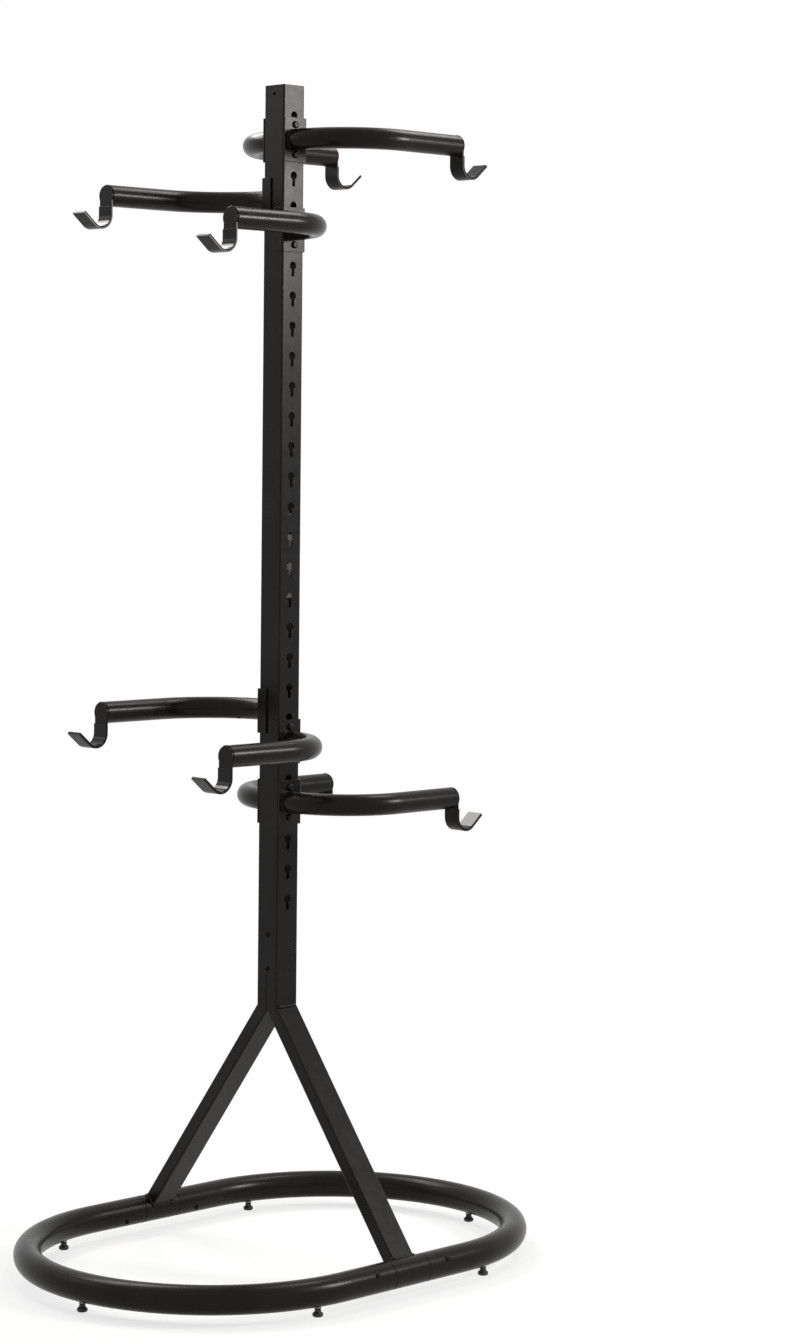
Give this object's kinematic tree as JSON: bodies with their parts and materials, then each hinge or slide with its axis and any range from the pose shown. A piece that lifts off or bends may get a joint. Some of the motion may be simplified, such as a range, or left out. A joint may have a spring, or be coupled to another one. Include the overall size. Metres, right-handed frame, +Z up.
{
  "type": "two tier bike rack",
  "caption": "Free standing bike rack: square keyhole post on splayed legs and an oval tube ring base, with bent tube arms that end in lined J hooks at two levels.",
  "frame": {"origin": "on the floor under the post's axis, at the middle of the base ring", "axes": "+Z up along the post; +Y along the long way of the base, square to the hung bikes, to the rear; +X to the right hand keyhole face"},
  "size_m": [0.6906, 0.9802, 2.07],
  "materials": {
    "powder_coat": "satin black powder coat",
    "hook_liner": "glossy black moulded liner",
    "black_screws": "black zinc, satin",
    "zinc_steel": "zinc plated, unpainted",
    "black_plastic": "moulded, matte"
  },
  "bodies": {
    "frame": {"upper_post": "powder_coat", "lower_post": "powder_coat", "post_joiner": "zinc_steel", "post_screws": "black_screws", "post_plug": "black_plastic", "leg_spigot": "zinc_steel", "leg_left": "powder_coat", "leg_right": "powder_coat", "ring_socket_left": "powder_coat", "ring_socket_right": "powder_coat", "ring_front_half": "powder_coat", "ring_rear_half": "powder_coat", "ring_bolts": "black_screws", "foot_inserts": "zinc_steel"},
    "upper_front_right_arm": {"upper_front_right_tube": "powder_coat", "upper_front_right_bracket": "powder_coat", "upper_front_right_studs": "black_screws", "upper_front_right_hook": "powder_coat", "upper_front_right_liner": "hook_liner"},
    "upper_front_left_arm": {"upper_front_left_tube": "powder_coat", "upper_front_left_bracket": "powder_coat", "upper_front_left_studs": "black_screws", "upper_front_left_hook": "powder_coat", "upper_front_left_liner": "hook_liner"},
    "upper_rear_right_arm": {"upper_rear_right_tube": "powder_coat", "upper_rear_right_bracket": "powder_coat", "upper_rear_right_studs": "black_screws", "upper_rear_right_hook": "powder_coat", "upper_rear_right_liner": "hook_liner"},
    "upper_rear_left_arm": {"upper_rear_left_tube": "powder_coat", "upper_rear_left_bracket": "powder_coat", "upper_rear_left_studs": "black_screws", "upper_rear_left_hook": "powder_coat", "upper_rear_left_liner": "hook_liner"},
    "lower_front_right_arm": {"lower_front_right_tube": "powder_coat", "lower_front_right_bracket": "powder_coat", "lower_front_right_studs": "black_screws", "lower_front_right_hook": "powder_coat", "lower_front_right_liner": "hook_liner"},
    "lower_front_left_arm": {"lower_front_left_tube": "powder_coat", "lower_front_left_bracket": "powder_coat", "lower_front_left_studs": "black_screws", "lower_front_left_hook": "powder_coat", "lower_front_left_liner": "hook_liner"},
    "lower_rear_right_arm": {"lower_rear_right_tube": "powder_coat", "lower_rear_right_bracket": "powder_coat", "lower_rear_right_studs": "black_screws", "lower_rear_right_hook": "powder_coat", "lower_rear_right_liner": "hook_liner"},
    "lower_rear_left_arm": {"lower_rear_left_tube": "powder_coat", "lower_rear_left_bracket": "powder_coat", "lower_rear_left_studs": "black_screws", "lower_rear_left_hook": "powder_coat", "lower_rear_left_liner": "hook_liner"},
    "front_middle_foot": {"foot_front_middle": "black_plastic"},
    "front_left_foot": {"foot_front_left": "black_plastic"},
    "front_right_foot": {"foot_front_right": "black_plastic"},
    "rear_middle_foot": {"foot_rear_middle": "black_plastic"},
    "rear_left_foot": {"foot_rear_left": "black_plastic"},
    "rear_right_foot": {"foot_rear_right": "black_plastic"}
  },
  "joints": [
    {"name": "upper_front_right_lift", "type": "slide", "parent": "frame", "child": "upper_front_right_arm", "axis": [0, 0, 1], "range_m": [0, 0.016]},
    {"name": "upper_front_left_lift", "type": "slide", "parent": "frame", "child": "upper_front_left_arm", "axis": [0, 0, 1], "range_m": [0, 0.016]},
    {"name": "upper_rear_right_lift", "type": "slide", "parent": "frame", "child": "upper_rear_right_arm", "axis": [0, 0, 1], "range_m": [0, 0.016]},
    {"name": "upper_rear_left_lift", "type": "slide", "parent": "frame", "child": "upper_rear_left_arm", "axis": [0, 0, 1], "range_m": [0, 0.016]},
    {"name": "lower_front_right_lift", "type": "slide", "parent": "frame", "child": "lower_front_right_arm", "axis": [0, 0, 1], "range_m": [0, 0.016]},
    {"name": "lower_front_left_lift", "type": "slide", "parent": "frame", "child": "lower_front_left_arm", "axis": [0, 0, 1], "range_m": [0, 0.016]},
    {"name": "lower_rear_right_lift", "type": "slide", "parent": "frame", "child": "lower_rear_right_arm", "axis": [0, 0, 1], "range_m": [0, 0.016]},
    {"name": "lower_rear_left_lift", "type": "slide", "parent": "frame", "child": "lower_rear_left_arm", "axis": [0, 0, 1], "range_m": [0, 0.016]},
    {"name": "front_middle_foot_thread", "type": "slide", "parent": "frame", "child": "front_middle_foot", "axis": [0, 0, -1], "range_m": [0, 0.01]},
    {"name": "front_left_foot_thread", "type": "slide", "parent": "frame", "child": "front_left_foot", "axis": [0, 0, -1], "range_m": [0, 0.01]},
    {"name": "front_right_foot_thread", "type": "slide", "parent": "frame", "child": "front_right_foot", "axis": [0, 0, -1], "range_m": [0, 0.01]},
    {"name": "rear_middle_foot_thread", "type": "slide", "parent": "frame", "child": "rear_middle_foot", "axis": [0, 0, -1], "range_m": [0, 0.01]},
    {"name": "rear_left_foot_thread", "type": "slide", "parent": "frame", "child": "rear_left_foot", "axis": [0, 0, -1], "range_m": [0, 0.01]},
    {"name": "rear_right_foot_thread", "type": "slide", "parent": "frame", "child": "rear_right_foot", "axis": [0, 0, -1], "range_m": [0, 0.01]}
  ]
}
